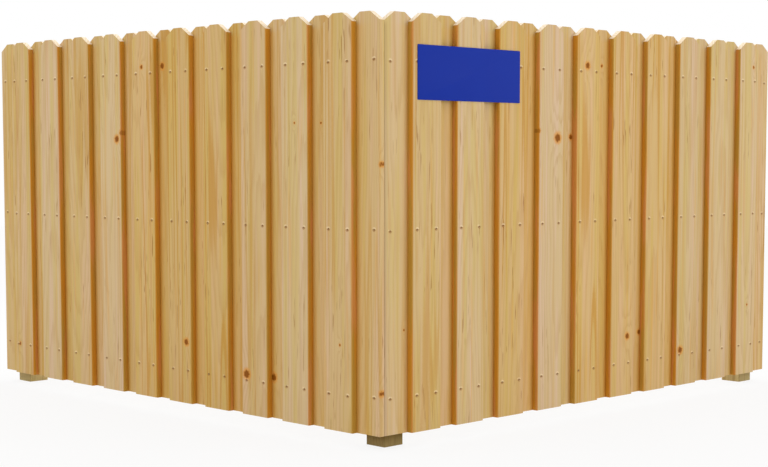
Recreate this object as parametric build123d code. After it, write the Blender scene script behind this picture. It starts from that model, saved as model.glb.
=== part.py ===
from build123d import *
import os
from typing import NamedTuple

# Corner of a board-on-board fence. Two equal runs meet at a right angle on three posts: the right run
# goes along +X and faces -Y, the left run goes along +Y and faces -X. Sizes are in millimetres.

# Boards, dog-eared at the top
BOARD_WIDTH = 139.7
BOARD_THICKNESS = 21.0
BOARD_LENGTH = 1392.0
BOARD_EASE = 1.5
EAR_WIDTH = 45.7
EAR_HEIGHT = 30.5

# Posts and rails
POST_SIDE = 88.9
POST_TOP_DROP = 60.0
RAIL_THICKNESS = 38.1
RAIL_DEPTH = 88.9
TIMBER_EASE = 3.0

# Layout of a run
FRONT_BOARDS = 10
BOARD_OVERLAP = 31.5
BOARD_RISE = 53.4
BOTTOM_RAIL_RISE = 123.7
RAIL_SPACING = 554.6
RAIL_NAMES = ("bottom", "middle", "top")

# Nails, set a little below the boards' faces, and screws
NAIL_HEAD = 7.0
NAIL_HEAD_HEIGHT = 1.4
NAIL_SHANK = 3.3
NAIL_LENGTH = 63.5
NAIL_SINK = 0.8
FRONT_NAIL_INSET = 24.0
INNER_NAIL_INSET = 27.0
INNER_NAIL_STAGGER = 3.0
SCREW_HEAD = 10.0
SCREW_HEAD_HEIGHT = 2.5
SCREW_SHANK = 5.0
SCREW_LENGTH = 76.2
SCREW_SINK = 0.3
SCREW_SPREAD = 22.0
HOLE_CLEARANCE = 0.1
HOLE_MOUTH = 1.0

# Plain sign plate on the right run
SIGN_WIDTH = 516.0
SIGN_HEIGHT = 182.0
SIGN_THICKNESS = 3.0
SIGN_CORNER = 3.0
SIGN_INSET = 24.0
SIGN_DROP = 103.0

# Worked out from the sizes above
BOARD_PITCH = 2 * (BOARD_WIDTH - BOARD_OVERLAP)
INNER_BOARDS = FRONT_BOARDS + 1
RUN_LENGTH = FRONT_BOARDS * BOARD_PITCH + BOARD_WIDTH
RAIL_SETBACK = POST_SIDE / 2 + RAIL_THICKNESS
CORNER_SETBACK = RAIL_SETBACK + BOARD_THICKNESS
RAIL_ROWS = [BOARD_RISE + BOTTOM_RAIL_RISE + i * RAIL_SPACING for i in range(len(RAIL_NAMES))]
INNER_STARTS = [i * BOARD_PITCH for i in range(INNER_BOARDS)]
FRONT_STARTS = [i * BOARD_PITCH + BOARD_WIDTH - BOARD_OVERLAP for i in range(FRONT_BOARDS)]
BOARDS_TOP = BOARD_RISE + BOARD_LENGTH
END_POST_ALONG = RUN_LENGTH - POST_SIDE / 2
POST_CENTRE_OUT = -RAIL_THICKNESS - POST_SIDE / 2


class Run(NamedTuple):
    """One straight side of the fence, laid out on the outer face of its rails."""

    name: str
    plane: Plane
    way: int
    rail_start: float
    nail_lift: float

    def place(self, along, up, out):
        """Location at a distance along the run, a height, and a distance out from the rails."""
        return self.plane.location * Pos(self.way * along, up, out)


class Fastener(NamedTuple):
    """A flat-headed nail or screw, sunk below the face that it is driven into."""

    head: float
    head_height: float
    shank: float
    length: float
    sink: float


RIGHT = Run(
    name="right",
    plane=Plane((-CORNER_SETBACK, -RAIL_SETBACK, 0), x_dir=(1, 0, 0), z_dir=(0, -1, 0)),
    way=1,
    rail_start=0,
    nail_lift=-INNER_NAIL_STAGGER,
)
# The left run's boards cover the ends of the right run's boards and rails
LEFT = Run(
    name="left",
    plane=Plane((-CORNER_SETBACK, -CORNER_SETBACK, 0), x_dir=(0, -1, 0), z_dir=(-1, 0, 0)),
    way=-1,
    rail_start=BOARD_THICKNESS + RAIL_THICKNESS,
    nail_lift=INNER_NAIL_STAGGER,
)
NAIL = Fastener(NAIL_HEAD, NAIL_HEAD_HEIGHT, NAIL_SHANK, NAIL_LENGTH, NAIL_SINK)
SCREW = Fastener(SCREW_HEAD, SCREW_HEAD_HEIGHT, SCREW_SHANK, SCREW_LENGTH, SCREW_SINK)


def rod(diameter, low, high):
    """Upright cylinder between two heights."""
    return Pos(0, 0, low) * Cylinder(diameter / 2, high - low, align=(Align.CENTER, Align.CENTER, Align.MIN))


def make_fastener(kind):
    """Nail or screw that points down -Z, driven into a face at Z = 0."""
    seat = -kind.sink - kind.head_height
    return rod(kind.head, seat, -kind.sink) + rod(kind.shank, -kind.sink - kind.length, seat)


def make_hole(kind):
    """The pocket and bore that a nail or screw sits in, open at the face."""
    seat = -kind.sink - kind.head_height
    pocket = rod(kind.head + 2 * HOLE_CLEARANCE, seat, HOLE_MOUTH)
    tip = -kind.sink - kind.length - HOLE_CLEARANCE
    return pocket + rod(kind.shank + 2 * HOLE_CLEARANCE, tip, seat)


def make_board():
    """Dog-eared board: foot on Y = 0, back on Z = 0, centred on X."""
    half = BOARD_WIDTH / 2
    shoulder = BOARD_LENGTH - EAR_HEIGHT
    outline = Polyline(
        (-half, 0),
        (half, 0),
        (half, shoulder),
        (half - EAR_WIDTH, BOARD_LENGTH),
        (-half + EAR_WIDTH, BOARD_LENGTH),
        (-half, shoulder),
        close=True,
    )
    board = extrude(make_face(outline), BOARD_THICKNESS)
    return chamfer(board.edges().filter_by(Axis.Y), BOARD_EASE)


def make_post():
    """Square post: foot on Y = 0, centred on X and Z."""
    height = BOARDS_TOP - POST_TOP_DROP
    post = Box(POST_SIDE, height, POST_SIDE, align=(Align.CENTER, Align.MIN, Align.CENTER))
    return chamfer(post.edges().filter_by(Axis.Y), TIMBER_EASE)


def make_rail(length):
    """Rail on edge: centred on X and Y, its outer face on Z = 0."""
    rail = Box(length, RAIL_DEPTH, RAIL_THICKNESS, align=(Align.CENTER, Align.CENTER, Align.MAX))
    return chamfer(rail.edges().filter_by(Axis.X), TIMBER_EASE)


def make_sign():
    """Flat plate with rounded corners, its back on Z = 0."""
    plate = Box(SIGN_WIDTH, SIGN_HEIGHT, SIGN_THICKNESS, align=(Align.CENTER, Align.CENTER, Align.MIN))
    return fillet(plate.edges().filter_by(Axis.Z), SIGN_CORNER)


def bored(piece, holes):
    """The piece with every hole cut that reaches into it."""
    box = piece.bounding_box()
    near = [hole for hole in holes if box.overlaps(hole.bounding_box())]
    return piece - near if near else piece


def front_nail_places(run):
    """Two nails in each front board at each rail, through both layers."""
    insets = (FRONT_NAIL_INSET, BOARD_WIDTH - FRONT_NAIL_INSET)
    return [
        run.place(start + inset, row, 2 * BOARD_THICKNESS)
        for row in RAIL_ROWS
        for start in FRONT_STARTS
        for inset in insets
    ]


def inner_nail_places(run):
    """One nail at each rail in the free edge of the run's first and last inner boards."""
    ends = (INNER_NAIL_INSET, RUN_LENGTH - INNER_NAIL_INSET)
    return [run.place(along, row + run.nail_lift, BOARD_THICKNESS) for row in RAIL_ROWS for along in ends]


def screw_places(run, along):
    """A pair of screws at each rail, in the rails' outer faces."""
    return [
        run.place(along, row + side * SCREW_SPREAD, 0)
        for row in RAIL_ROWS
        for side in (-1, 1)
    ]


FASTENER_GROUPS = {
    "left_front_nails": (NAIL, front_nail_places(LEFT)),
    "left_inner_nails": (NAIL, inner_nail_places(LEFT)),
    "left_rail_screws": (
        SCREW,
        screw_places(RIGHT, RAIL_THICKNESS / 2) + screw_places(LEFT, END_POST_ALONG),
    ),
    "right_front_nails": (NAIL, front_nail_places(RIGHT)),
    "right_inner_nails": (NAIL, inner_nail_places(RIGHT)),
    "right_rail_screws": (
        SCREW,
        screw_places(RIGHT, CORNER_SETBACK) + screw_places(RIGHT, END_POST_ALONG),
    ),
}


def holes_for(kind):
    """Holes of every nail, or of every screw."""
    hole = make_hole(kind)
    return [place * hole for group, places in FASTENER_GROUPS.values() if group is kind for place in places]


def layer_boards(run, layer, starts, out, holes):
    """A run's boards of one layer, numbered from the corner."""
    blank = make_board()
    boards = {}
    for number, start in enumerate(starts, 1):
        place = run.place(start + BOARD_WIDTH / 2, BOARD_RISE, out)
        boards[f"{run.name}_{layer}_board_{number:02d}"] = bored(place * blank, holes)
    return boards


def run_rails(run, holes):
    """A run's three rails."""
    length = RUN_LENGTH - run.rail_start
    blank = make_rail(length)
    rails = {}
    for name, row in zip(RAIL_NAMES, RAIL_ROWS):
        place = run.place(run.rail_start + length / 2, row, 0)
        rails[f"{run.name}_{name}_rail"] = bored(place * blank, holes)
    return rails


def posts(holes):
    """The post in the corner and one at each run's end."""
    places = {
        "corner_post": RIGHT.place(CORNER_SETBACK, 0, POST_CENTRE_OUT),
        "left_end_post": LEFT.place(END_POST_ALONG, 0, POST_CENTRE_OUT),
        "right_end_post": RIGHT.place(END_POST_ALONG, 0, POST_CENTRE_OUT),
    }
    blank = make_post()
    return {name: bored(place * blank, holes) for name, place in places.items()}


def sign():
    """The plate on the faces of the right run's first front boards."""
    along = FRONT_STARTS[0] + SIGN_INSET + SIGN_WIDTH / 2
    up = BOARDS_TOP - SIGN_DROP - SIGN_HEIGHT / 2
    return {"sign_plate": RIGHT.place(along, up, 2 * BOARD_THICKNESS) * make_sign()}


def fasteners():
    """Nails and screws, one group of separate solids to a node."""
    groups = {}
    for name, (kind, places) in FASTENER_GROUPS.items():
        blank = make_fastener(kind)
        groups[name] = Compound([(place * blank).solid() for place in places])
    return groups


nail_holes = holes_for(NAIL)
all_holes = nail_holes + holes_for(SCREW)
pieces = posts(all_holes)
for run in (LEFT, RIGHT):
    pieces |= run_rails(run, all_holes)
    pieces |= layer_boards(run, "inner", INNER_STARTS, 0, nail_holes)
    pieces |= layer_boards(run, "front", FRONT_STARTS, BOARD_THICKNESS, nail_holes)
pieces |= fasteners()
pieces |= sign()

os.makedirs("parts", exist_ok=True)
for name, piece in pieces.items():
    export_step(piece, f"parts/{name}.step")
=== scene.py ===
"""Looks of a board-on-board fence corner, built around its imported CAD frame.

Every board is modelled again, with eased edges and nail pockets, and stands in its CAD board's place. So does
the plain plate, with softened edges. Posts, rails, nails and screws keep their CAD meshes and get finishes.
All lengths are in metres, in the frame of the CAD part.
"""

import logging
import math
import random
from dataclasses import dataclass, field, replace
from enum import Enum
from typing import Any, Callable, Iterable, Iterator, Optional, Union

import bpy
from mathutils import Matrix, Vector


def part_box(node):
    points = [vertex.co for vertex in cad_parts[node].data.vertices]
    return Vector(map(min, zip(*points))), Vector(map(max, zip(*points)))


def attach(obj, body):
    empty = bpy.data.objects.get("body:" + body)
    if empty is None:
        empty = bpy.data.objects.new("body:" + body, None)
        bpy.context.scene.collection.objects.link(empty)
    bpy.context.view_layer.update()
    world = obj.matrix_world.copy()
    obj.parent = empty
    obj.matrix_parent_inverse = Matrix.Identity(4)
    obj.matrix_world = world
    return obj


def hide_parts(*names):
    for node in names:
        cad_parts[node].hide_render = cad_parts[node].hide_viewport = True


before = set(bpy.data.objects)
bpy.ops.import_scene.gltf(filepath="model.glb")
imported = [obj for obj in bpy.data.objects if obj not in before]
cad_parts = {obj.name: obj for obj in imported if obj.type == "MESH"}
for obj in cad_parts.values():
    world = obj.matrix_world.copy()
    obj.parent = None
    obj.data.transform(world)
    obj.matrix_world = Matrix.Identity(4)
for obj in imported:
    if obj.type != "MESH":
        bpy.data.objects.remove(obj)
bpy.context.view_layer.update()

log = logging.getLogger("fence")
Colour = tuple[float, float, float]
Place = tuple[float, float, float]
Fade = tuple[float, float]
Number = Union[float, "Wire"]
EdgeTest = Callable[[Vector, Vector], bool]

SMOOTH_ANGLE = math.radians(35.0)
WHITE = (1.0, 1.0, 1.0)
OFF_BOARD = 9.0
KNOT_SLOTS = ("knot_a", "knot_b")
NO_KNOT = (0.0, -OFF_BOARD, 0.01)


def from_srgb(red: int, green: int, blue: int) -> Colour:
    """Linear colour of a display colour, by the sRGB curve.

    Args:
        red: Display red, 0 to 255.
        green: Display green, 0 to 255.
        blue: Display blue, 0 to 255.

    Returns:
        The linear red, green and blue, 0 to 1.
    """

    def linear(level: int) -> float:
        """Linear value of one display level."""
        share = level / 255
        return share / 12.92 if share <= 0.04045 else ((share + 0.055) / 1.055) ** 2.4

    return linear(red), linear(green), linear(blue)


class Run(Enum):
    """The two sides of the fence."""

    LEFT = "left"
    RIGHT = "right"

    @property
    def corner_side(self) -> int:
        """The side of a board that is nearer to the corner: 1 or -1, seen from its face."""
        return 1 if self is Run.LEFT else -1

    @property
    def turn(self) -> float:
        """The angle that turns a board's face to the outside of the run."""
        return -math.pi / 2 if self is Run.LEFT else 0.0


class Layer(Enum):
    """The two layers of boards on each run."""

    FRONT = "front"
    INNER = "inner"


class Stock(Enum):
    """How resinous a board's wood is."""

    PALE = -1.0
    PLAIN = 0.0
    RESINOUS = 1.0


class Axis(Enum):
    """The axis that a timber's grain follows."""

    X = 0
    Y = 1
    Z = 2


class Wire:
    """A shader value: one output socket, with arithmetic that adds Math nodes."""

    def __init__(self, tree: "Tree", socket: bpy.types.NodeSocket) -> None:
        """Wraps a socket of a tree."""
        self.tree = tree
        self.socket = socket

    def math(self, operation: str, *others: Number) -> "Wire":
        """Result of a Math node with this value first."""
        return self.tree.math(operation, self, *others)

    def __add__(self, other: Number) -> "Wire":
        """Sum."""
        return self.math("ADD", other)

    __radd__ = __add__

    def __mul__(self, other: Number) -> "Wire":
        """Product."""
        return self.math("MULTIPLY", other)

    __rmul__ = __mul__

    def __sub__(self, other: Number) -> "Wire":
        """Difference."""
        return self.math("SUBTRACT", other)

    def __rsub__(self, other: Number) -> "Wire":
        """Difference from a number."""
        return self.tree.math("SUBTRACT", other, self)

    def __truediv__(self, other: Number) -> "Wire":
        """Quotient."""
        return self.math("DIVIDE", other)

    def __rtruediv__(self, other: Number) -> "Wire":
        """Quotient of a number by this value."""
        return self.tree.math("DIVIDE", other, self)

    def __neg__(self) -> "Wire":
        """Value with its sign turned."""
        return self.math("MULTIPLY", -1.0)

    def __abs__(self) -> "Wire":
        """Size without its sign."""
        return self.math("ABSOLUTE")

    def step(self, low: float, high: float) -> "Wire":
        """Smooth step.

        Args:
            low: Value up to which the step is 0.
            high: Value from which it is 1.

        Returns:
            The step, 0 to 1.
        """
        settings = {"interpolation_type": "SMOOTHSTEP"}
        inputs = {"Value": self, "From Min": low, "From Max": high}
        return self.tree.wire("ShaderNodeMapRange", settings, inputs)


class Tree:
    """A material's or the world's node tree, with one method that adds any node."""

    def __init__(self, owner: bpy.types.ID) -> None:
        """Empties the owner's tree.

        Args:
            owner: A material or a world.
        """
        owner.use_nodes = True
        self.nodes = owner.node_tree.nodes
        self.links = owner.node_tree.links
        self.nodes.clear()

    def add(self, kind: str, settings: dict[str, Any], inputs: dict[Any, Any]) -> bpy.types.Node:
        """Adds a node, sets it up and fills its inputs.

        Args:
            kind: The node's type.
            settings: Properties, set first.
            inputs: Socket names or numbers, with values, colours or wires.

        Returns:
            The node.
        """
        node = self.nodes.new(kind)
        for name, value in settings.items():
            setattr(node, name, value)
        for name, value in inputs.items():
            if isinstance(value, Wire):
                self.links.new(value.socket, node.inputs[name])
            else:
                node.inputs[name].default_value = (*value, 1.0) if isinstance(value, tuple) else value
        return node

    def wire(self, kind: str, settings: dict[str, Any], inputs: dict[Any, Any], output: Any = 0) -> Wire:
        """Adds a node and returns one of its outputs."""
        return Wire(self, self.add(kind, settings, inputs).outputs[output])

    def math(self, operation: str, *operands: Number) -> Wire:
        """Adds a Math node."""
        return self.wire("ShaderNodeMath", {"operation": operation}, dict(enumerate(operands)))

    def attribute(self, name: str, output: str = "Fac") -> Wire:
        """Reads one of the piece's own attributes."""
        return self.wire("ShaderNodeAttribute", {"attribute_name": name}, {}, output)

    def parts(self, name: str) -> tuple[Wire, Wire, Wire]:
        """The three parts of one of the piece's own vectors."""
        return self.split(self.attribute(name, "Vector"))

    def place(self, output: str = "Object") -> Wire:
        """Place on the piece, or its Normal, in the frame."""
        return self.wire("ShaderNodeTexCoord", {}, {}, output)

    def split(self, vector: Wire) -> tuple[Wire, Wire, Wire]:
        """The three parts of a vector."""
        node = self.add("ShaderNodeSeparateXYZ", {}, {"Vector": vector})
        return Wire(self, node.outputs[0]), Wire(self, node.outputs[1]), Wire(self, node.outputs[2])

    def vector(self, x: Number, y: Number, z: Number) -> Wire:
        """A vector of three values."""
        return self.wire("ShaderNodeCombineXYZ", {}, {"X": x, "Y": y, "Z": z})

    def noise(self, where: Wire, detail: float) -> Wire:
        """Noise with cells of about one unit, 0 to 1 around a half."""
        inputs = {"Vector": where, "Scale": 1.0, "Detail": detail, "Roughness": 0.5}
        return self.wire("ShaderNodeTexNoise", {"noise_dimensions": "3D"}, inputs)

    def speckle(self, cells: float, detail: float) -> Wire:
        """Even noise with so many cells to the metre."""
        inputs = {"Vector": self.place(), "Scale": cells}
        return self.noise(self.wire("ShaderNodeVectorMath", {"operation": "SCALE"}, inputs), detail)

    def mix(self, factor: Number, first: Any, second: Any, blend: str = "MIX") -> Wire:
        """Mix of two colours.

        Args:
            factor: Share of the second colour.
            first: A colour or a wire.
            second: A colour or a wire.
            blend: How the second colour is laid over the first.

        Returns:
            The mixed colour.
        """
        settings = {"data_type": "RGBA", "blend_type": blend, "clamp_factor": True}
        return self.wire("ShaderNodeMix", settings, {0: factor, 6: first, 7: second}, 2)

    def bump(self, height: Wire, strength: float, depth: float) -> Wire:
        """A normal bent by a height map."""
        inputs = {"Strength": strength, "Distance": depth, "Height": height}
        return self.wire("ShaderNodeBump", {}, inputs, "Normal")

    def surface(self, shader: Wire, output: str = "ShaderNodeOutputMaterial") -> None:
        """Ends the tree with a shader."""
        self.add(output, {}, {"Surface": shader})

    def principled(self, inputs: dict[str, Any]) -> None:
        """Ends the tree with a principled shader."""
        self.surface(self.wire("ShaderNodeBsdfPrincipled", {}, inputs))


@dataclass(frozen=True)
class Pattern:
    """Noise drawn out along the grain.

    Args:
        wide: Cells to the metre across the grain.
        long: Cells to the metre along it.
        detail: How many finer layers of noise are added.
        offset: Where the noise is cut, so that patterns differ.
    """

    wide: float
    long: float
    detail: float = 2.0
    offset: float = 0.0


@dataclass
class Grain:
    """A timber's own coordinates and its colour so far, in a shader.

    Args:
        tree: The tree to add to.
        across: Place across the grain.
        depth: Place across it, at a right angle to the first.
        along: Place along it.
        wood: The colour so far.
        shift: What sets one timber's noise apart from another's.
        made: The noise that is made already.
    """

    tree: Tree
    across: Wire
    depth: Wire
    along: Wire
    wood: Union[Colour, Wire]
    shift: Number = 0.0
    made: dict[Pattern, Wire] = field(default_factory=dict)

    def noise(self, pattern: Pattern) -> Wire:
        """Noise in a pattern, which is made once.

        Args:
            pattern: The pattern.

        Returns:
            The noise, 0 to 1 around a half.
        """
        if pattern not in self.made:
            where = self.tree.vector(
                self.across * pattern.wide + self.shift,
                self.depth * pattern.wide + pattern.offset,
                self.along * pattern.long + self.shift,
            )
            self.made[pattern] = self.tree.noise(where, pattern.detail)
        return self.made[pattern]

    def sway(self, pattern: Pattern, reach: float) -> Wire:
        """Noise to both sides of 0, over a reach in all."""
        return (self.noise(pattern) - 0.5) * reach

    def lay(self, share: Number, colour: Union[Colour, Wire], blend: str = "MIX") -> None:
        """Lays a share of a colour over the colour so far."""
        self.wood = self.tree.mix(share, self.wood, colour, blend)


def hypotenuse(first: Wire, second: Wire) -> Wire:
    """Length of two offsets at a right angle."""
    return (first * first + second * second).math("SQRT")


def within(half: float, fade: Fade) -> Fade:
    """A fade that is given from a board's edge, measured from its middle."""
    return half - fade[0], half - fade[1]


def late_wood(phase: Wire) -> Wire:
    """Dark late wood, which deepens through each growth ring and ends sharply.

    Args:
        phase: Rings counted from the pith.

    Returns:
        The share of late wood, 0 to 1.
    """
    ring = phase.math("FRACT")
    return ring.step(0.35, 0.88) * (1.0 - ring.step(0.9, 1.0))


@dataclass(frozen=True)
class PineFinish:
    """Planed pale pine: bands of hue, growth rings, veins, dashes and knots, painted shade with warm bounce
    light on the sawn edges of front boards, painted shade beside the boards in front, and cut ends made pale
    with painted light.

    It reads the board's own attributes: grain (place in the board), seed, tone, resin, pith, two knots, lap
    (where the boards in front cover it, and the side of its rim of painted shade), joint (the side on which
    it butts another board) and nails. A Fade holds the two distances at which something begins and ends.
    """

    # Half a board's width and thickness, the height of its shoulders and that between rows of nails
    half_width: float
    half_depth: float
    shoulder: float
    row_spacing: float

    # Colours of plain wood, its bands, late wood, veins and dashes
    base: Colour = from_srgb(208, 178, 127)
    pink: Colour = from_srgb(216, 181, 151)
    olive: Colour = from_srgb(203, 175, 90)
    orange: Colour = from_srgb(212, 164, 92)
    late: Colour = from_srgb(184, 140, 80)
    vein: Colour = from_srgb(192, 142, 58)
    dash: Colour = from_srgb(150, 98, 36)

    # Colours of sawn edges in painted shade with warm bounce light, of painted shade beside other boards,
    # of the dark line at butt joints, of cut ends made pale with painted light, of pale spots at nails and of
    # knots
    edge: Colour = from_srgb(208, 144, 44)
    edge_olive: Colour = from_srgb(192, 147, 58)
    edge_red: Colour = from_srgb(214, 146, 76)
    crease: Colour = from_srgb(217, 157, 66)
    glow: Colour = from_srgb(211, 166, 83)
    seam: Colour = from_srgb(150, 118, 66)
    lit_end_colour: Colour = from_srgb(252, 234, 204)
    nail_spot: Colour = from_srgb(236, 212, 168)
    knot_heart: Colour = from_srgb(138, 78, 4)
    knot_halo: Colour = from_srgb(214, 146, 58)

    # Fine fibres, what roughens knots and veins, and growth rings around a pith that wanders
    seed_spread: float = 37.0
    bump: float = 0.3
    bump_depth: float = 0.0005
    fine: Pattern = Pattern(420.0, 7.0, 3.0)
    waver: Pattern = Pattern(150.0, 150.0)
    ring_width: float = 0.011
    ring_ripple: Pattern = Pattern(90.0, 3.0)
    pith_across: Pattern = Pattern(3.0, 1.2)
    pith_depth: Pattern = Pattern(2.0, 1.6)
    pith_wander: tuple[float, float] = (0.03, 0.04)

    # Bands of hue, and veins, dashes and lines with the patches where they show
    hue: Pattern = Pattern(31.0, 0.9)
    hue_ripple: Pattern = Pattern(110.0, 2.2, 1.0, 5.0)
    warmth: Pattern = Pattern(60.0, 1.6, 2.0, 9.0)
    veins: Pattern = Pattern(34.0, 0.7, 0.0, 12.0)
    vein_patches: Pattern = Pattern(10.0, 1.1, 0.0, 15.0)
    dashes: Pattern = Pattern(150.0, 9.0, 1.0, 3.0)
    dash_patches: Pattern = Pattern(8.0, 3.0, 0.0, 2.0)
    lines: Pattern = Pattern(190.0, 2.6, 1.0, 7.0)
    line_patches: Pattern = Pattern(11.0, 1.3, 0.0, 4.0)

    # Painted shade on the face and the dark line at butt joints, in rates of decay to the metre, and the face
    # that they keep to
    glow_decay: float = 35.0
    crease_decay: float = 150.0
    seam_decay: float = 130.0
    face_fade: Fade = (0.003, 0.001)
    shoulder_fade: float = 0.02

    # Pale spots and painted shadow at nails, and painted shade with bands of hue on the edge and on the face
    # beside it
    nail_spot_patches: Pattern = Pattern(70.0, 70.0, 0.0, 18.0)
    nail_spot_fade: Fade = (0.0065, 0.0105)
    nail_spot_rise: float = 0.0035
    nail_shadow_fade: Fade = (0.0042, 0.0085)
    edge_olive_bands: Pattern = Pattern(40.0, 2.2, 2.0, 1.0)
    edge_red_bands: Pattern = Pattern(40.0, 2.9, 2.0, 6.0)
    edge_fade: Fade = (0.0011, 0.0002)
    rim_fade: Fade = (0.0085, 0.002)

    def knot(self, grain: Grain, name: str) -> tuple[Wire, Wire]:
        """Nearness to one knot.

        Args:
            grain: The board's coordinates.
            name: The attribute with the knot's place across and along the board, and its radius.

        Returns:
            Distance in radii, and how far the grain swells around the knot.
        """
        place_across, place_along, radius = grain.tree.parts(name)
        off_across = (grain.across - place_across) / radius
        off_along = (grain.along - place_along) / radius
        distance = hypotenuse(off_across, off_along) + grain.sway(self.waver, 0.9)
        swell = -(off_across * off_across * 0.16 + off_along * off_along * 0.03)
        return distance, swell.math("EXPONENT")

    def rings(self, grain: Grain, swell: Wire) -> Wire:
        """Growth rings around a pith that wanders along the board.

        Args:
            grain: The board's coordinates.
            swell: How far the rings bend around knots.

        Returns:
            The share of late wood.
        """
        across, depth, tilt = grain.tree.parts("pith")
        wander_across, wander_depth = self.pith_wander
        off_across = grain.across - across + grain.sway(self.pith_across, wander_across)
        off_depth = grain.depth + depth + grain.along * tilt + grain.sway(self.pith_depth, wander_depth)
        rings = hypotenuse(off_across, off_depth) / self.ring_width
        return late_wood(rings + grain.sway(self.ring_ripple, 1.2) + swell * 1.8)

    def bands(self, grain: Grain, late: Wire) -> None:
        """Lays bands of hue along the board, and growth rings.

        Args:
            grain: The board's coordinates and colour.
            late: The share of late wood.
        """
        hue = grain.noise(self.hue) + grain.sway(self.hue_ripple, 0.3)
        grain.lay(hue.step(0.52, 0.68) * 0.5, self.pink)
        grain.lay((1.0 - hue.step(0.34, 0.49)) * 0.5, self.olive)
        grain.lay(grain.noise(self.warmth).step(0.58, 0.7) * 0.5, self.orange)
        grain.lay(late * 0.3 + grain.sway(self.fine, 0.3), self.late)

    def streaks(self, grain: Grain) -> None:
        """Lays long veins, short dark dashes and thin lines of resin, stronger in resinous boards.

        Args:
            grain: The board's coordinates and colour.
        """
        resin = grain.tree.attribute("resin")
        crossing = abs(grain.noise(self.veins) - 0.5 + grain.sway(self.waver, 0.03))
        vein = (1.0 - crossing.step(0.02, 0.085)) * grain.noise(self.vein_patches).step(0.46, 0.6)
        grain.lay(vein * (resin * 0.2 + 0.5), self.vein)
        dashes = grain.noise(self.dashes).step(0.66, 0.715) * grain.noise(self.dash_patches).step(0.48, 0.6)
        lines = grain.noise(self.lines).step(0.67, 0.73) * grain.noise(self.line_patches).step(0.48, 0.6)
        grain.lay((dashes + lines) * (resin * 0.1 + 0.55), self.dash)

    def creases(self, grain: Grain) -> None:
        """Paints shade on the face towards the boards that cover it, wide and tinted orange by painted bounce
        light, with a darker crease beside them, and darkens a thin line along a butt joint.

        Args:
            grain: The board's coordinates and colour.
        """
        low, high, _ = grain.tree.parts("lap")
        clear = (grain.across - low).math("MINIMUM", high - grain.across).math("MAXIMUM", 0.0)
        front = (-grain.depth).step(*within(self.half_depth, self.face_fade))
        front = front * (1.0 - grain.along.step(self.shoulder - self.shoulder_fade, self.shoulder))
        # Painted shade beside the boards in front: a wide glow tinted orange by bounce light, and a darker
        # crease
        glow = (clear * -self.glow_decay).math("EXPONENT")
        grain.lay(glow * front * (grain.tree.attribute("resin") * 0.2 + 0.7), self.glow)
        crease = (clear * -self.crease_decay).math("EXPONENT")
        grain.lay(crease * front * 0.9, self.crease)
        joint = (grain.across * grain.tree.attribute("joint") - self.half_width) * self.seam_decay
        grain.lay(joint.math("EXPONENT") * front * 0.55, self.seam)

    def tint(self, grain: Grain) -> None:
        """Sets boards apart in tone, with resinous ones more orange.

        Args:
            grain: The board's coordinates and colour.
        """
        tone = grain.tree.attribute("tone")
        resin = grain.tree.attribute("resin")
        shade = tone * 0.025 + 1.0 + grain.sway(self.fine, 0.1)
        green = shade * (1.0 - resin * 0.04)
        blue = shade * (1.0 + tone * 0.03 - resin * 0.16)
        grain.lay(1.0, grain.tree.vector(shade, green, blue), "MULTIPLY")

    def nail_marks(self, grain: Grain) -> None:
        """Lays pale spots above most nails, and painted shadow below each, as below a nail head lit from
        above.

        Args:
            grain: The board's coordinates and colour.
        """
        left, right, row = grain.tree.parts("nails")
        aside = abs(grain.across - left).math("MINIMUM", abs(grain.across - right))
        rows_up = ((grain.along - row) / self.row_spacing + 0.5).math("FRACT")
        above = rows_up * self.row_spacing - self.row_spacing / 2
        away = (aside * aside * 0.7 + above * above).math("SQRT")
        upper = above.step(0.0, self.nail_spot_rise)
        # Pale spots above most nails
        spot = (1.0 - away.step(*self.nail_spot_fade)) * grain.noise(self.nail_spot_patches).step(0.3, 0.55)
        grain.lay(spot * upper * 0.58, self.nail_spot)
        # Painted shadow below each nail, in the dash colour
        grain.lay((1.0 - away.step(*self.nail_shadow_fade)) * (1.0 - upper) * 0.6, self.dash)

    def edges(self, grain: Grain, heart: Wire) -> None:
        """Paints shade with warm bounce light on the sawn edges of a front board, and painted shade on a rim
        of its face on the side nearer the corner.

        Args:
            grain: The board's coordinates and colour.
            heart: Where knots are.
        """
        mix = grain.tree.mix
        # The edge colour is painted shade with warm bounce light, in bands of hue and with knots
        edge = mix(grain.noise(self.edge_olive_bands).step(0.4, 0.6), self.edge, self.edge_olive)
        edge = mix(grain.noise(self.edge_red_bands).step(0.5, 0.65), edge, self.edge_red)
        edge = mix((grain.noise(self.fine) - 0.3) * 0.3, edge, self.knot_heart)
        edge = mix(heart * 0.5, edge, self.knot_heart)
        # Painted shade on a rim of the face, on the side nearer the corner
        stain_and_shade = grain.tree.parts("lap")[2]
        rim = (grain.across * stain_and_shade).step(*within(self.half_width, self.rim_fade))
        grain.lay(rim * 0.92, mix(0.22, edge, self.knot_heart))
        side = abs(grain.across).step(*within(self.half_width, self.edge_fade))
        grain.lay(side * abs(stain_and_shade), edge)

    def ends(self, grain: Grain, late: Wire) -> None:
        """Lays the cut ends' grain, with its rings, in a pale colour of painted light, where faces point up
        or down.

        Args:
            grain: The board's coordinates and colour.
            late: The share of late wood.
        """
        lit_end_wood = grain.tree.mix(late * 0.35 + grain.sway(self.fine, 0.3), self.lit_end_colour, self.late)
        upright = grain.tree.split(grain.tree.place("Normal"))[2]
        # Pale painted light on faces that point up or down
        grain.lay(abs(upright).step(0.25, 0.5), lit_end_wood)

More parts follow.
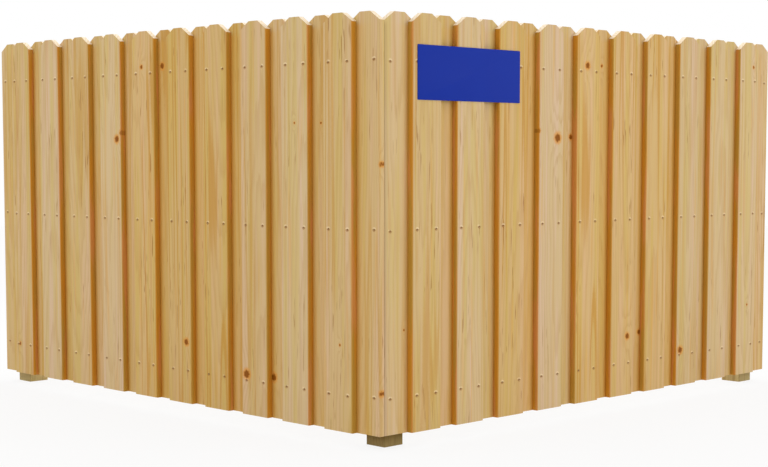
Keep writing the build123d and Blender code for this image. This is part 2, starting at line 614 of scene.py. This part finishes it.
    def material(self) -> bpy.types.Material:
        """Builds the finish.

        Returns:
            The material.
        """
        material = bpy.data.materials.new("pine_board")
        tree = Tree(material)
        shift = tree.attribute("seed") * self.seed_spread
        grain = Grain(tree, *tree.parts("grain"), self.base, shift)
        (first, first_swell), (second, second_swell) = (self.knot(grain, name) for name in KNOT_SLOTS)
        late = self.rings(grain, first_swell + second_swell)
        nearest = first.math("MINIMUM", second)
        heart = 1.0 - nearest.step(0.6, 1.15)

        self.bands(grain, late)
        self.streaks(grain)
        self.creases(grain)
        self.tint(grain)
        grain.lay((1.0 - nearest.step(0.9, 1.9)) * 0.85, self.knot_halo)
        grain.lay(heart, self.knot_heart)
        self.nail_marks(grain)
        self.edges(grain, heart)
        self.ends(grain, late)
        height = late * 0.3 + grain.noise(self.fine) * 0.8 - heart * 0.6
        tree.principled(
            {
                "Base Color": grain.wood,
                "Roughness": 0.68 - late * 0.08 + grain.sway(self.fine, 0.2),
                "Specular IOR Level": 0.14,
                "Normal": tree.bump(height, self.bump, self.bump_depth),
            }
        )
        return material


@dataclass(frozen=True)
class TimberFinish:
    """Sawn timber with grain along one axis, for posts and rails.

    A colour of painted shade, where there is one, darkens a post's outer faces, which lie behind the boards,
    as the shade under the boards would. The fields after it give where these faces begin, measured outwards
    from the corner post's centre, the reach over which the painted shade weakens away from the corner, and
    the height over which it weakens towards the ground.
    """

    name: str
    axis: Axis
    base: Colour
    late: Colour
    stain_and_shade: Colour
    # Painted shade under the boards, and where and how it fades
    under_board_shade: Optional[Colour] = None
    shade_from: float = 0.04
    shade_reach: Fade = (0.2, 1.6)
    shade_foot: float = 0.05

    # Growth rings around a pith that wanders, fine fibres, dark streaks and blotches
    bump: float = 0.4
    bump_depth: float = 0.0006
    ring_width: float = 0.006
    pith: tuple[float, float] = (0.013, 0.021)
    pith_across: Pattern = Pattern(3.0, 1.5)
    pith_depth: Pattern = Pattern(4.0, 1.1)
    pith_wander: float = 0.05
    ring_ripple: Pattern = Pattern(80.0, 4.0)
    fine: Pattern = Pattern(380.0, 7.0, 3.0)
    streaks: Pattern = Pattern(48.0, 1.3)
    blotches: Pattern = Pattern(14.0, 3.0, 3.0)

    def paint_under_board_shade(self, grain: Grain) -> None:
        """Paints shade on a post's outer faces under the boards, most at the corner of the fence and above
        the foot.

        Args:
            grain: The post's coordinates and colour.
        """
        x, y, z = grain.across, grain.depth, grain.along
        facing = grain.tree.split(grain.tree.place("Normal"))
        left, right = (
            (-way).step(0.3, 0.6) * (-out).step(0.0, self.shade_from) for way, out in zip(facing, (x, y))
        )
        strength = (1.0 - (x + y).step(*self.shade_reach)) * 0.3 + 0.4 + z.step(0.0, self.shade_foot) * 0.3
        shaded_wood = grain.tree.mix(1.0, grain.wood, self.under_board_shade, "MULTIPLY")
        grain.lay(left.math("MAXIMUM", right) * strength, shaded_wood)

    def material(self) -> bpy.types.Material:
        """Builds the finish.

        Returns:
            The material.
        """
        material = bpy.data.materials.new(self.name)
        tree = Tree(material)
        place = tree.split(tree.place())
        along = place[self.axis.value]
        across, depth = (part for part in place if part is not along)
        grain = Grain(tree, across, depth, along, self.base)
        off_across = across - self.pith[0] + grain.sway(self.pith_across, self.pith_wander)
        off_depth = depth - self.pith[1] + grain.sway(self.pith_depth, self.pith_wander)
        rings = hypotenuse(off_across, off_depth) / self.ring_width
        late = late_wood(rings + grain.sway(self.ring_ripple, 0.9))
        streak = grain.noise(self.streaks).step(0.5, 0.64)
        grain.lay(late * 0.5 + grain.sway(self.fine, 0.4) + streak * 0.45, self.late)
        grain.lay(grain.noise(self.blotches).step(0.42, 0.68) * 0.55, self.stain_and_shade)
        if self.under_board_shade:
            self.paint_under_board_shade(grain)
        height = late * 0.4 + grain.noise(self.fine)
        tree.principled(
            {
                "Base Color": grain.wood,
                "Roughness": 0.74 - late * 0.1,
                "Specular IOR Level": 0.25,
                "Normal": tree.bump(height, self.bump, self.bump_depth),
            }
        )
        return material


@dataclass(frozen=True)
class SteelFinish:
    """Dull steel with a mottled skin, in so many cells to the metre."""

    name: str
    bright: Colour
    dull: Colour
    roughness: float
    metallic: float = 0.7
    mottle_cells: float = 420.0
    bump: float = 0.2
    bump_depth: float = 0.0002

    def material(self) -> bpy.types.Material:
        """Builds the finish.

        Returns:
            The material.
        """
        material = bpy.data.materials.new(self.name)
        tree = Tree(material)
        mottle = tree.speckle(self.mottle_cells, 3.0)
        tree.principled(
            {
                "Base Color": tree.mix(mottle.step(0.35, 0.65), self.bright, self.dull),
                "Roughness": self.roughness + (mottle - 0.5) * 0.3,
                "Metallic": self.metallic,
                "Specular IOR Level": 0.3,
                "Normal": tree.bump(mottle, self.bump, self.bump_depth),
            }
        )
        return material


@dataclass(frozen=True)
class PaintFinish:
    """Satin paint on sheet metal, with a faint orange peel and worn clouds, in so many cells to the metre."""

    name: str
    colour: Colour
    worn: Colour
    peel_cells: float = 900.0
    cloud_cells: float = 7.0
    bump: float = 0.08
    bump_depth: float = 0.0002

    def material(self) -> bpy.types.Material:
        """Builds the finish.

        Returns:
            The material.
        """
        material = bpy.data.materials.new(self.name)
        tree = Tree(material)
        cloud = tree.speckle(self.cloud_cells, 3.0)
        tree.principled(
            {
                "Base Color": tree.mix(cloud.step(0.35, 0.7) * 0.5, self.colour, self.worn),
                "Roughness": 0.5 + (cloud - 0.5) * 0.2,
                "Specular IOR Level": 0.06,
                "Normal": tree.bump(tree.speckle(self.peel_cells, 2.0), self.bump, self.bump_depth),
            }
        )
        return material


@dataclass(frozen=True)
class Knot:
    """A knot in a board.

    Args:
        inset: Distance from the board's edge nearer to the corner.
        up: Height above the board's foot.
        radius: Half its size across.
    """

    inset: float
    up: float
    radius: float


KNOTS = {
    "left_inner_board_01": [Knot(-0.006, 0.895, 0.0085), Knot(-0.006, 0.142, 0.0095)],
    "left_front_board_01": [Knot(0.061, 0.292, 0.004)],
    "left_front_board_02": [Knot(0.069, 1.034, 0.004)],
    "left_inner_board_02": [Knot(0.066, 1.033, 0.004)],
    "left_front_board_03": [Knot(0.115, 0.145, 0.016)],
    "left_inner_board_03": [Knot(0.100, 0.144, 0.014)],
    "left_front_board_05": [Knot(0.032, 0.230, 0.0125)],
    "left_front_board_06": [Knot(0.079, 1.258, 0.0075)],
    "left_inner_board_06": [Knot(0.084, 1.258, 0.012)],
    "left_front_board_07": [Knot(0.029, 0.986, 0.0135), Knot(0.000, 1.010, 0.010)],
    "left_front_board_10": [Knot(0.104, 0.126, 0.007)],
    "right_inner_board_01": [Knot(0.091, 0.345, 0.0035)],
    "right_front_board_04": [Knot(0.107, 0.987, 0.016), Knot(0.000, 1.011, 0.008)],
    "right_inner_board_05": [Knot(0.100, 0.991, 0.010)],
    "right_front_board_05": [Knot(0.062, 1.254, 0.012)],
    "right_inner_board_06": [Knot(0.066, 1.258, 0.006)],
    "right_front_board_06": [Knot(0.107, 0.228, 0.0115)],
    "right_inner_board_07": [Knot(0.103, 0.234, 0.010)],
    "right_front_board_08": [Knot(0.030, 0.142, 0.014)],
    "right_front_board_10": [Knot(0.104, 1.291, 0.006), Knot(0.083, 0.293, 0.0045)],
}

# Boards that aren't plain, by their numbers from the corner
STOCK = {
    (Run.LEFT, Layer.FRONT): {Stock.PALE: (2, 7, 9), Stock.RESINOUS: (4, 5, 6)},
    (Run.LEFT, Layer.INNER): {Stock.RESINOUS: (4, 5, 6)},
    (Run.RIGHT, Layer.FRONT): {Stock.PALE: (2, 4, 8, 9, 10), Stock.RESINOUS: (3, 5, 6, 7)},
    (Run.RIGHT, Layer.INNER): {Stock.PALE: (1, 3, 5, 9, 10), Stock.RESINOUS: (4, 6, 8)},
}


@dataclass(frozen=True)
class Board:
    """One board: where it belongs, what covers it and how it is nailed.

    Places across are measured from the board's middle line, to the right as its face is seen.

    Args:
        node: The CAD board that it stands for.
        run: Its run.
        layer: Its layer.
        lap: Places across where the boards in front begin to cover it.
        nails: Places across of its nails.
        lift: Height of its nails above their rows.
        joint: The side on which it butts another board, -1 or 1, or 0 for none.
        drilled: Whether its nail pockets are cut in it alone, and not in its blank.
    """

    node: str
    run: Run
    layer: Layer
    lap: tuple[float, float]
    nails: tuple[float, float]
    lift: float = 0.0
    joint: float = 0.0
    drilled: bool = False

    def stock(self) -> Stock:
        """The stock that it is cut from.

        Returns:
            The stock.
        """
        number = int(self.node[-2:])
        others = STOCK[self.run, self.layer].items()
        return next((stock for stock, numbers in others if number in numbers), Stock.PLAIN)

    def stain_and_shade(self) -> float:
        """The side nearer the corner, where a front board's face gets a rim of painted shade, -1 or 1, or 0
        for boards with no painted edge shade.
        """
        return float(self.run.corner_side) if self.layer is Layer.FRONT else 0.0

    def knots(self, width: float) -> list[Place]:
        """Its knots, made up to the number of slots by knots that lie off the board.

        Args:
            width: The board's width.

        Returns:
            Each knot's place across and along the board, and its radius.
        """
        knots = KNOTS.get(self.node, [])
        places = [(self.run.corner_side * (width / 2 - knot.inset), knot.up, knot.radius) for knot in knots]
        return places + [NO_KNOT] * (len(KNOT_SLOTS) - len(places))


def deselect() -> None:
    """Leaves object mode with nothing selected."""
    if bpy.context.object and bpy.context.object.mode != "OBJECT":
        bpy.ops.object.mode_set(mode="OBJECT")
    bpy.ops.object.select_all(action="DESELECT")


def activate(piece: bpy.types.Object) -> None:
    """Selects one object alone and makes it active.

    Args:
        piece: The object.
    """
    deselect()
    piece.select_set(True)
    bpy.context.view_layer.objects.active = piece


def add_block(name: str, middle: Place, size: Place) -> bpy.types.Object:
    """Adds a plain block to shape further.

    Args:
        name: The block's name.
        middle: Place of its middle.
        size: Its size along each axis.

    Returns:
        The block.
    """
    deselect()
    bpy.ops.mesh.primitive_cube_add(size=1.0, location=middle)
    block = bpy.context.object
    block.name = name
    block.scale = size
    bpy.ops.object.transform_apply(location=True, rotation=True, scale=True)
    return block


def bevel(piece: bpy.types.Object, wanted: EdgeTest, width: float, segments: int) -> None:
    """Rounds the edges whose two ends pass a test.

    Args:
        piece: The active object, in object mode.
        wanted: Test of an edge's two ends.
        width: Width of the rounding.
        segments: Steps in it.
    """
    bpy.ops.object.mode_set(mode="EDIT")
    bpy.ops.mesh.select_mode(type="EDGE")
    bpy.ops.mesh.select_all(action="DESELECT")
    bpy.ops.object.mode_set(mode="OBJECT")
    corners = piece.data.vertices
    for edge in piece.data.edges:
        edge.select = wanted(corners[edge.vertices[0]].co, corners[edge.vertices[1]].co)
    bpy.ops.object.mode_set(mode="EDIT")
    bpy.ops.mesh.bevel(offset=width, segments=segments, affect="EDGES")
    bpy.ops.object.mode_set(mode="OBJECT")


def paint(piece: bpy.types.Object, material: bpy.types.Material) -> None:
    """Gives an object one material."""
    piece.data.materials.clear()
    piece.data.materials.append(material)


@dataclass
class BoardShop:
    """Models the fence boards and sets them in place.

    A blank stands on its foot at the origin, centred, with its face towards -Y.
    """

    # A board's size, and the heights of the rows of nails above its foot
    width: float
    thickness: float
    length: float
    rows: list[float]

    # What an ear's cut takes off the top and off the side, and the rounding along the edges
    ear_width: float = 0.0457
    ear_height: float = 0.0305
    ease: float = 0.0018
    ease_segments: int = 3

    # Nail pockets, in from the edges of front boards and from the free edges of end boards
    pocket_radius: float = 0.0036
    pocket_depth: float = 0.0022
    pocket_sides: int = 20
    front_inset: float = 0.024
    end_inset: float = 0.027

    # How far end boards' nails leave their rows, and how far front boards cover inner ones
    stagger: float = 0.003
    overlap: float = 0.0315

    # Where the pith may lie beside and behind a board, its lean, and how dark the inner boards are
    pith_aside: float = 0.06
    pith_behind: tuple[float, float] = (0.02, 0.16)
    pith_tilt: float = 0.05
    inner_shade: float = 0.8

    @property
    def shoulder(self) -> float:
        """Height of the shoulders, where the ears begin."""
        return self.length - self.ear_height

    def blank(self) -> bpy.types.Object:
        """Models a dog-eared board with eased edges.

        Returns:
            The blank.
        """
        size = (self.width, self.thickness, self.length)
        board = add_block("board_blank", (0.0, 0.0, self.length / 2), size)
        bpy.ops.object.mode_set(mode="EDIT")
        for side in (-1, 1):
            bpy.ops.mesh.select_all(action="SELECT")
            bpy.ops.mesh.bisect(
                plane_co=(side * self.width / 2, 0.0, self.shoulder),
                plane_no=(side * self.ear_height, 0.0, self.ear_width),
                use_fill=True,
                clear_outer=True,
            )
        bpy.ops.object.mode_set(mode="OBJECT")
        bevel(board, lambda a, b: abs(a.z - b.z) > self.shoulder / 2, self.ease, self.ease_segments)
        return board

    def drill(self, piece: bpy.types.Object, places: Iterable[tuple[float, float]]) -> None:
        """Cuts nail pockets into a board's face.

        Args:
            piece: A blank or a copy of one.
            places: Each pocket's place across and height.
        """
        deselect()
        cutters = []
        for across, up in places:
            bpy.ops.mesh.primitive_cylinder_add(
                vertices=self.pocket_sides,
                radius=self.pocket_radius,
                depth=2 * self.pocket_depth,
                location=(across, -self.thickness / 2, up),
                rotation=(math.pi / 2, 0.0, 0.0),
            )
            cutters.append(bpy.context.object)
        for cutter in cutters:
            cutter.select_set(True)
        bpy.ops.object.join()
        cutter = bpy.context.object
        activate(piece)
        modifier = piece.modifiers.new("pockets", "BOOLEAN")
        modifier.operation = "DIFFERENCE"
        modifier.solver = "EXACT"
        modifier.object = cutter
        bpy.ops.object.modifier_apply(modifier=modifier.name)
        bpy.data.objects.remove(cutter)

    def copy(self, blank: bpy.types.Object, name: str) -> bpy.types.Object:
        """Copies a blank.

        Args:
            blank: The blank.
            name: The copy's name.

        Returns:
            The copy, with its own mesh.
        """
        piece = blank.copy()
        piece.data = blank.data.copy()
        piece.name = name
        piece.data.name = name
        bpy.context.scene.collection.objects.link(piece)
        return piece

    def front_nails(self) -> tuple[float, float]:
        """Places across of a front board's nails."""
        reach = self.width / 2 - self.front_inset
        return -reach, reach

    def end_board(self, node: str, run: Run, at_corner: bool) -> Board:
        """Plans an inner board that starts or ends its run, nailed beside its free edge.

        Args:
            node: The CAD board that it stands for.
            run: Its run.
            at_corner: Whether it starts the run, at the corner.

        Returns:
            The board.
        """
        free = run.corner_side if at_corner else -run.corner_side
        covered = self.width / 2 - self.overlap
        nail = free * (self.width / 2 - self.end_inset)
        return Board(
            node,
            run,
            Layer.INNER,
            lap=(-covered, OFF_BOARD) if free > 0 else (-OFF_BOARD, covered),
            nails=(nail, nail),
            lift=run.corner_side * self.stagger,
            joint=float(free) if at_corner and run is Run.RIGHT else 0.0,
            drilled=True,
        )

    def plan(self) -> Iterator[Board]:
        """Plans a board for each CAD board.

        Returns:
            The boards, run by run, with the front layer first.
        """
        covered = self.width / 2 - self.overlap
        for run in Run:
            for layer in Layer:
                start = f"{run.value}_{layer.value}_board"
                nodes = sorted(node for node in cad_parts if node.startswith(start))
                for node in nodes:
                    if layer is Layer.FRONT:
                        yield Board(node, run, layer, (-OFF_BOARD, OFF_BOARD), self.front_nails())
                    elif node in (nodes[0], nodes[-1]):
                        yield self.end_board(node, run, node == nodes[0])
                    else:
                        yield Board(node, run, layer, (-covered, covered), (OFF_BOARD, OFF_BOARD))

    def mark(self, piece: bpy.types.Object, board: Board) -> None:
        """Gives a board the attributes that its finish reads, while it still stands at the origin.

        Args:
            piece: The board's object.
            board: The board's plan.
        """
        dice = random.Random(board.node)
        pith = (
            dice.uniform(-self.pith_aside, self.pith_aside),
            dice.uniform(*self.pith_behind),
            dice.uniform(-self.pith_tilt, self.pith_tilt),
        )
        count = len(piece.data.vertices)
        places = [0.0] * (3 * count)
        piece.data.vertices.foreach_get("co", places)
        vectors = {
            "grain": places,
            "pith": pith * count,
            "lap": (*board.lap, board.stain_and_shade()) * count,
            "nails": (*board.nails, self.rows[0] + board.lift) * count,
        }
        for name, knot in zip(KNOT_SLOTS, board.knots(self.width)):
            vectors[name] = knot * count
        numbers = {
            "seed": dice.random(),
            "tone": dice.uniform(-1.0, 1.0) - (self.inner_shade if board.layer is Layer.INNER else 0.0),
            "resin": board.stock().value,
            "joint": board.joint,
        }
        for name, values in vectors.items():
            piece.data.attributes.new(name, "FLOAT_VECTOR", "POINT").data.foreach_set("vector", values)
        for name, value in numbers.items():
            piece.data.attributes.new(name, "FLOAT", "POINT").data.foreach_set("value", [value] * count)

    def fix(self, piece: bpy.types.Object, board: Board) -> None:
        """Stands a board in its CAD board's place, with its place in its mesh.

        Args:
            piece: The board's object, at the origin.
            board: The board's plan.
        """
        low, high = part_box(board.node)
        piece.location = ((low.x + high.x) / 2, (low.y + high.y) / 2, low.z)
        piece.rotation_euler.z = board.run.turn
        activate(piece)
        bpy.ops.object.transform_apply(location=True, rotation=True, scale=True)
        bpy.ops.object.shade_smooth_by_angle(angle=SMOOTH_ANGLE)
        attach(piece, "root")
        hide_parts(board.node)

    def build(self) -> list[bpy.types.Object]:
        """Builds every board.

        Returns:
            The boards.
        """
        row_spacing = self.rows[1] - self.rows[0]
        material = PineFinish(self.width / 2, self.thickness / 2, self.shoulder, row_spacing).material()
        inner = self.blank()
        front = self.copy(inner, "front_blank")
        self.drill(front, [(across, row) for row in self.rows for across in self.front_nails()])
        pieces = []
        for board in self.plan():
            piece = self.copy(front if board.layer is Layer.FRONT else inner, f"{board.node}_planed")
            if board.drilled:
                self.drill(piece, [(board.nails[0], row + board.lift) for row in self.rows])
            self.mark(piece, board)
            paint(piece, material)
            self.fix(piece, board)
            pieces.append(piece)
            log.info("board %s: %d faces", piece.name, len(piece.data.polygons))
        for blank in (inner, front):
            bpy.data.objects.remove(blank)
        return pieces


@dataclass
class SignPlate:
    """The bare plate on the right run, with rounded corners and softened edges."""

    node: str = "sign_plate"
    corner: float = 0.003
    corner_segments: int = 4
    ease: float = 0.0007
    ease_segments: int = 2
    finish: PaintFinish = PaintFinish("sign_blue", from_srgb(18, 46, 150), from_srgb(22, 50, 154))

    def build(self) -> bpy.types.Object:
        """Models the plate in its CAD plate's place.

        Returns:
            The plate.
        """
        low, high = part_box(self.node)
        size = high - low
        plate = add_block("sign_plate_painted", (low + high) / 2, size)
        bevel(plate, lambda a, b: abs(a.y - b.y) > size.y / 2, self.corner, self.corner_segments)
        near_face = low.y + size.y / 4
        bevel(plate, lambda a, b: max(a.y, b.y) < near_face, self.ease, self.ease_segments)
        activate(plate)
        bpy.ops.object.shade_smooth_by_angle(angle=SMOOTH_ANGLE)
        paint(plate, self.finish.material())
        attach(plate, "root")
        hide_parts(self.node)
        log.info("plate %s: %d faces", plate.name, len(plate.data.polygons))
        return plate


@dataclass
class Framework:
    """Finishes of the posts, rails, nails and screws, which keep their CAD meshes."""

    post: TimberFinish = TimberFinish(
        "treated_post",
        Axis.Z,
        base=from_srgb(216, 197, 142),
        late=from_srgb(184, 156, 98),
        stain_and_shade=from_srgb(198, 184, 124),
        # Painted shade on the posts' outer faces under the boards
        under_board_shade=from_srgb(146, 126, 70),
    )
    left_rail: TimberFinish = TimberFinish(
        "left_rail_pine",
        Axis.Y,
        base=from_srgb(212, 180, 128),
        late=from_srgb(180, 136, 78),
        stain_and_shade=from_srgb(196, 160, 104),
    )
    right_rail: TimberFinish = replace(left_rail, name="right_rail_pine", axis=Axis.X)
    nail: SteelFinish = SteelFinish(
        "nail_steel", bright=from_srgb(148, 106, 54), dull=from_srgb(108, 72, 30), roughness=0.6, metallic=0.3
    )
    screw: SteelFinish = SteelFinish(
        "screw_steel", bright=from_srgb(176, 172, 160), dull=from_srgb(140, 134, 118), roughness=0.4
    )

    def dress(self) -> None:
        """Gives each kept CAD node its finish, by the first word here that its name holds."""
        finishes = {
            "_post": self.post.material(),
            "_screws": self.screw.material(),
            "_nails": self.nail.material(),
            "left_": self.left_rail.material(),
            "right_": self.right_rail.material(),
        }
        for node, piece in sorted(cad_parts.items()):
            if "_board_" in node or node == "sign_plate":
                continue
            material = next(finish for word, finish in finishes.items() if word in node)
            for slot in piece.material_slots:
                slot.material = material
            log.info("kept %s: %s in %d slots", node, material.name, len(piece.material_slots))


class LampKind(Enum):
    """A far light that is even over a whole run, or a square soft box."""

    FAR = "SUN"
    BOX = "AREA"


@dataclass(frozen=True)
class Lamp:
    """A lamp that points from its place at a target.

    Its power is in watts, for a far light to the square metre. Its spread is the length of a soft box's side,
    or the angle that a far light fills, in degrees.
    """

    name: str
    kind: LampKind
    place: Place
    target: Place
    power: float
    spread: float

    def build(self) -> None:
        """Adds the lamp to the scene."""
        deselect()
        bpy.ops.object.light_add(type=self.kind.value, location=self.place)
        lamp = bpy.context.object
        lamp.name = self.name
        lamp.data.energy = self.power
        if self.kind is LampKind.FAR:
            lamp.data.angle = math.radians(self.spread)
        else:
            lamp.data.shape = "SQUARE"
            lamp.data.size = self.spread
        way = Vector(self.target) - Vector(self.place)
        lamp.rotation_euler = way.to_track_quat("-Z", "Y").to_euler()


@dataclass
class Studio:
    """Floor, soft light, white surroundings and the camera at the photograph's angle."""

    # The picture's size, and the camera: its heading from +X and its pitch in degrees, its lens in pixels
    image_width: int = 768
    image_height: int = 467
    camera_place: Place = (-3.6796, -3.7177, 0.9810)
    camera_heading: float = 45.33
    camera_pitch: float = -4.258
    camera_range: float = 100.0
    focal_pixels: float = 1558.7
    centre_pixels: tuple[float, float] = (383.67, 270.30)
    sensor_width: float = 36.0

    # The floor, with the share of plain white that is seen on it, and the light around it
    floor_reach: float = 30.0
    floor_colour: Colour = (0.92, 0.92, 0.92)
    floor_white: float = 0.86
    world_light: float = 0.85
    lights: tuple[Lamp, ...] = (
        Lamp("right_light", LampKind.FAR, (5.5, -8.0, 1.2), (0.0, 0.0, 0.0), power=0.77, spread=25.0),
        Lamp("left_light", LampKind.FAR, (-8.0, 5.5, 1.2), (0.0, 0.0, 0.0), power=0.5, spread=25.0),
        Lamp("inner_box", LampKind.BOX, (2.2, 2.2, 3.4), (0.9, 0.9, 0.0), power=45.0, spread=3.0),
    )

    def seen(self, tree: Tree) -> Wire:
        """Rays that show the surroundings: the camera's, reflections and what shines through.

        Args:
            tree: The tree to add to.

        Returns:
            1 for such a ray, 0 for the others.
        """
        path = tree.add("ShaderNodeLightPath", {}, {})
        rays = [Wire(tree, path.outputs[f"Is {kind} Ray"]) for kind in ("Camera", "Glossy", "Transmission")]
        return rays[0].math("MAXIMUM", rays[1]).math("MAXIMUM", rays[2])

    def floor(self) -> bpy.types.Object:
        """Lays a pale floor that turns white where it is seen and keeps a soft shadow.

        Returns:
            The floor.
        """
        deselect()
        bpy.ops.mesh.primitive_plane_add(size=self.floor_reach)
        floor = bpy.context.object
        floor.name = "studio_floor"
        material = bpy.data.materials.new("studio_floor")
        tree = Tree(material)
        pale = tree.wire("ShaderNodeBsdfDiffuse", {}, {"Color": self.floor_colour})
        white = tree.wire("ShaderNodeEmission", {}, {"Color": WHITE, "Strength": 1.0})
        share = self.seen(tree) * self.floor_white
        tree.surface(tree.wire("ShaderNodeMixShader", {}, {0: share, 1: pale, 2: white}))
        floor.data.materials.append(material)
        return floor

    def world(self) -> None:
        """Sets up even surroundings, white to the camera and in reflections."""
        world = bpy.data.worlds.new("studio")
        bpy.context.scene.world = world
        tree = Tree(world)
        strength = self.seen(tree) * (1.0 - self.world_light) + self.world_light
        light = tree.wire("ShaderNodeBackground", {}, {"Color": WHITE, "Strength": strength})
        tree.surface(light, "ShaderNodeOutputWorld")

    def camera(self) -> None:
        """Sets up the camera from its place, heading and lens in pixels."""
        deselect()
        bpy.ops.object.camera_add(location=self.camera_place)
        camera = bpy.context.object
        camera.name = "photo_camera"
        camera.rotation_euler = (
            math.radians(90.0 + self.camera_pitch),
            0.0,
            math.radians(self.camera_heading - 90.0),
        )
        lens = camera.data
        lens.sensor_fit = "HORIZONTAL"
        lens.sensor_width = self.sensor_width
        lens.lens = self.sensor_width * self.focal_pixels / self.image_width
        lens.shift_x = (self.image_width / 2 - self.centre_pixels[0]) / self.image_width
        lens.shift_y = (self.centre_pixels[1] - self.image_height / 2) / self.image_width
        lens.clip_end = self.camera_range
        bpy.context.scene.camera = camera

    def build(self) -> None:
        """Builds the studio."""
        self.floor()
        self.world()
        for light in self.lights:
            light.build()
        self.camera()
        bpy.context.scene.view_settings.view_transform = "Standard"
        log.info("studio: floor, world, %d lights and the camera", len(self.lights))


def main() -> None:
    """Builds the fence's looks in order."""
    logging.basicConfig(level=logging.INFO, format="%(name)s: %(message)s")
    low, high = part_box("right_front_board_01")
    rails = [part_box(f"right_{name}_rail") for name in ("bottom", "middle", "top")]
    rows = [(rail[0].z + rail[1].z) / 2 - low.z for rail in rails]
    size = high - low
    BoardShop(width=size.x, thickness=size.y, length=size.z, rows=rows).build()
    SignPlate().build()
    Framework().dress()
    Studio().build()


if __name__ == "__main__":
    main()
